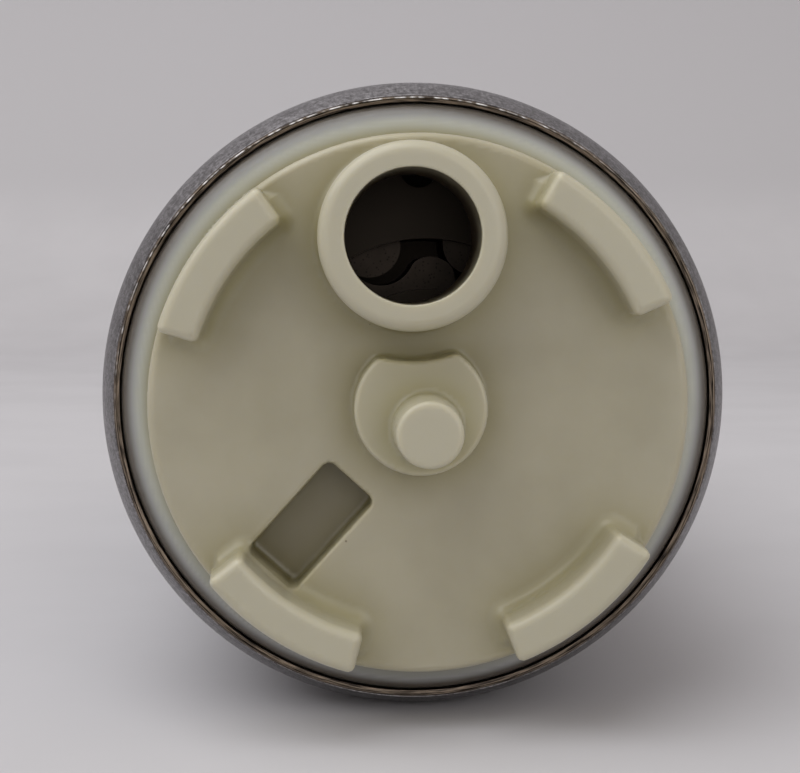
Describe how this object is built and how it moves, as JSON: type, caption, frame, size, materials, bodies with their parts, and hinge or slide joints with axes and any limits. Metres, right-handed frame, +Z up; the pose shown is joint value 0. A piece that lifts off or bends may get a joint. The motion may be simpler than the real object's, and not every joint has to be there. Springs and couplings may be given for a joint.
{
  "type": "in-tank fuel pump",
  "caption": "Cylindrical in-tank electric fuel pump: crimped steel can, moulded inlet end cap with an off-centre inlet tube and arc lugs, barbed outlet and two-blade socket.",
  "frame": {"origin": "on the pump axis, halfway along the steel can", "axes": "+Y along the pump axis towards the outlet, so the inlet end faces -Y; +Z up, on the inlet tube's side, as the pump lies in the picture"},
  "size_m": [0.039, 0.1275, 0.039],
  "materials": {
    "steel_can": "satin",
    "cap_plastic": "satin",
    "seal_rubber": "matte",
    "plate_metal": "satin",
    "sintered_steel": "satin",
    "ground_steel": "polished",
    "bronze": "satin",
    "inner_plastic": "satin",
    "insulator_card": "matte",
    "core_steel": "satin",
    "copper_wire": "gloss",
    "copper": "satin",
    "flux_steel": "satin",
    "ferrite": "matte",
    "carbon": "matte",
    "spring_steel": "polished",
    "tinned_brass": "satin",
    "valve_plastic": "gloss"
  },
  "bodies": {
    "housing": {"brush_holder": "inner_plastic", "brush_lead_negative": "copper", "brush_lead_positive": "copper", "brush_spring_negative": "spring_steel", "brush_spring_positive": "spring_steel", "can": "steel_can", "check_valve_cage": "valve_plastic", "check_valve_seat": "valve_plastic", "check_valve_spring": "spring_steel", "dowel_pins": "ground_steel", "flux_ring": "flux_steel", "front_bearing": "bronze", "inlet_cap": "cap_plastic", "inlet_port_plate": "plate_metal", "inlet_seal_ring": "seal_rubber", "magnet_clips": "flux_steel", "magnet_left": "ferrite", "magnet_right": "ferrite", "outlet_cap": "cap_plastic", "outlet_seal_ring": "seal_rubber", "pump_base": "plate_metal", "pump_ring": "plate_metal", "rear_bearing": "bronze", "relief_valve_plug": "valve_plastic", "relief_valve_spring": "spring_steel", "terminal_negative": "tinned_brass", "terminal_positive": "tinned_brass"},
    "armature": {"armature_shaft": "ground_steel", "armature_core": "core_steel", "armature_windings": "copper_wire", "front_insulator": "insulator_card", "rear_insulator": "insulator_card", "commutator_base": "inner_plastic", "commutator_segments": "copper", "front_thrust_washer": "inner_plastic", "rear_thrust_washer": "inner_plastic", "drive_coupling": "inner_plastic", "inner_rotor": "sintered_steel"},
    "outer_rotor": {"outer_rotor": "sintered_steel"},
    "positive_brush": {"brush_positive": "carbon"},
    "negative_brush": {"brush_negative": "carbon"},
    "check_valve_head": {"check_valve_poppet": "valve_plastic"},
    "relief_ball": {"relief_valve_ball": "ground_steel"}
  },
  "joints": [
    {"name": "armature_spin", "type": "hinge", "parent": "housing", "child": "armature", "pos_m": [0, 0, 0], "axis": [0, 1, 0], "continuous": true},
    {"name": "outer_rotor_spin", "type": "hinge", "parent": "housing", "child": "outer_rotor", "pos_m": [0.0009, 0, 0.00005], "axis": [0, 1, 0], "continuous": true},
    {"name": "positive_brush_slide", "type": "slide", "parent": "housing", "child": "positive_brush", "axis": [0, 1, 0], "range_m": [0, 0.003], "stiffness_N_per_m": 150, "springref_m": -0.006, "deforming": ["brush_spring_positive", "brush_lead_positive"]},
    {"name": "negative_brush_slide", "type": "slide", "parent": "housing", "child": "negative_brush", "axis": [0, 1, 0], "range_m": [0, 0.003], "stiffness_N_per_m": 150, "springref_m": -0.006, "deforming": ["brush_spring_negative", "brush_lead_negative"]},
    {"name": "check_valve_lift", "type": "slide", "parent": "housing", "child": "check_valve_head", "axis": [0, 1, 0], "range_m": [0, 0.002], "stiffness_N_per_m": 60, "springref_m": -0.0025, "deforming": ["check_valve_spring"]},
    {"name": "relief_valve_lift", "type": "slide", "parent": "housing", "child": "relief_ball", "axis": [0, 1, 0], "range_m": [0, 0.001], "stiffness_N_per_m": 1500, "springref_m": -0.0018, "deforming": ["relief_valve_spring"]}
  ],
  "couplings": [
    {"joint": "outer_rotor_spin", "follows": "armature_spin", "ratio": 0.88889}
  ]
}
